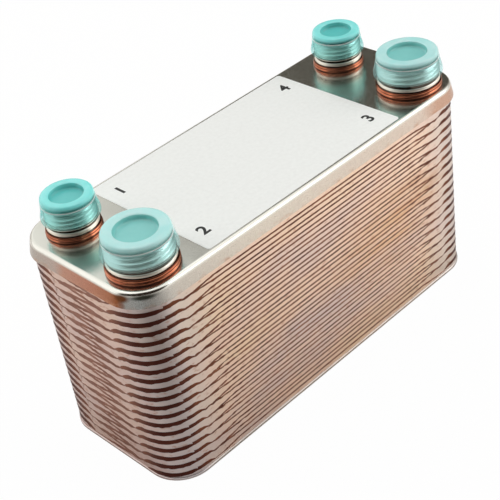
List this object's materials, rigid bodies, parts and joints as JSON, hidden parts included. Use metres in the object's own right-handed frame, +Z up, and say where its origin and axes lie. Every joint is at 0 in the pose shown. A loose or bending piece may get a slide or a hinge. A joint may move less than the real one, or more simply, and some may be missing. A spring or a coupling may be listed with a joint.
{
  "type": "plate wort chiller",
  "caption": "Brazed plate wort chiller: a block of nested pressed plates under a rounded cover plate, with threaded stubs closed by push-on caps.",
  "frame": {"origin": "centre of the underside of the base plate", "axes": "+X along the pack's length, +Y across it towards the two wort ports, +Z up through the stubs"},
  "size_m": [0.191, 0.0754, 0.1109],
  "materials": {
    "plate_steel": "pressed stainless sheet, lightly tinted by brazing",
    "cover_steel": "bright drawn stainless sheet",
    "stub_steel": "turned stainless",
    "copper_braze": "flowed copper braze",
    "label_film": "white label film",
    "small_cap_plastic": "translucent moulded polyethylene",
    "large_cap_plastic": "translucent moulded polyethylene"
  },
  "bodies": {
    "chiller": {"plate_01": "plate_steel", "plate_02": "plate_steel", "plate_03": "plate_steel", "plate_04": "plate_steel", "plate_05": "plate_steel", "plate_06": "plate_steel", "plate_07": "plate_steel", "plate_08": "plate_steel", "plate_09": "plate_steel", "plate_10": "plate_steel", "plate_11": "plate_steel", "plate_12": "plate_steel", "plate_13": "plate_steel", "plate_14": "plate_steel", "plate_15": "plate_steel", "plate_16": "plate_steel", "plate_17": "plate_steel", "plate_18": "plate_steel", "plate_19": "plate_steel", "plate_20": "plate_steel", "plate_21": "plate_steel", "plate_22": "plate_steel", "plate_23": "plate_steel", "plate_24": "plate_steel", "plate_25": "plate_steel", "plate_26": "plate_steel", "plate_27": "plate_steel", "plate_28": "plate_steel", "plate_29": "plate_steel", "plate_30": "plate_steel", "plate_31": "plate_steel", "plate_32": "plate_steel", "plate_33": "plate_steel", "plate_34": "plate_steel", "plate_35": "plate_steel", "plate_36": "plate_steel", "plate_37": "plate_steel", "plate_38": "plate_steel", "plate_39": "plate_steel", "plate_40": "plate_steel", "base_plate": "plate_steel", "cover_plate": "cover_steel", "braze_seams": "copper_braze", "label": "label_film", "stub_wort_in": "stub_steel", "stub_wort_out": "stub_steel", "stub_water_in": "stub_steel", "stub_water_out": "stub_steel", "braze_ring_wort_in": "copper_braze", "braze_ring_wort_out": "copper_braze", "braze_ring_water_in": "copper_braze", "braze_ring_water_out": "copper_braze"},
    "cap_wort_in_body": {"cap_wort_in": "small_cap_plastic"},
    "cap_wort_out_body": {"cap_wort_out": "small_cap_plastic"},
    "cap_water_in_body": {"cap_water_in": "large_cap_plastic"},
    "cap_water_out_body": {"cap_water_out": "large_cap_plastic"}
  },
  "joints": [
    {"name": "wort_in_cap_lift", "type": "slide", "parent": "chiller", "child": "cap_wort_in_body", "axis": [0, 0, 1], "range_m": [0, 0.035]},
    {"name": "wort_out_cap_lift", "type": "slide", "parent": "chiller", "child": "cap_wort_out_body", "axis": [0, 0, 1], "range_m": [0, 0.035]},
    {"name": "water_in_cap_lift", "type": "slide", "parent": "chiller", "child": "cap_water_in_body", "axis": [0, 0, 1], "range_m": [0, 0.035]},
    {"name": "water_out_cap_lift", "type": "slide", "parent": "chiller", "child": "cap_water_out_body", "axis": [0, 0, 1], "range_m": [0, 0.035]}
  ]
}
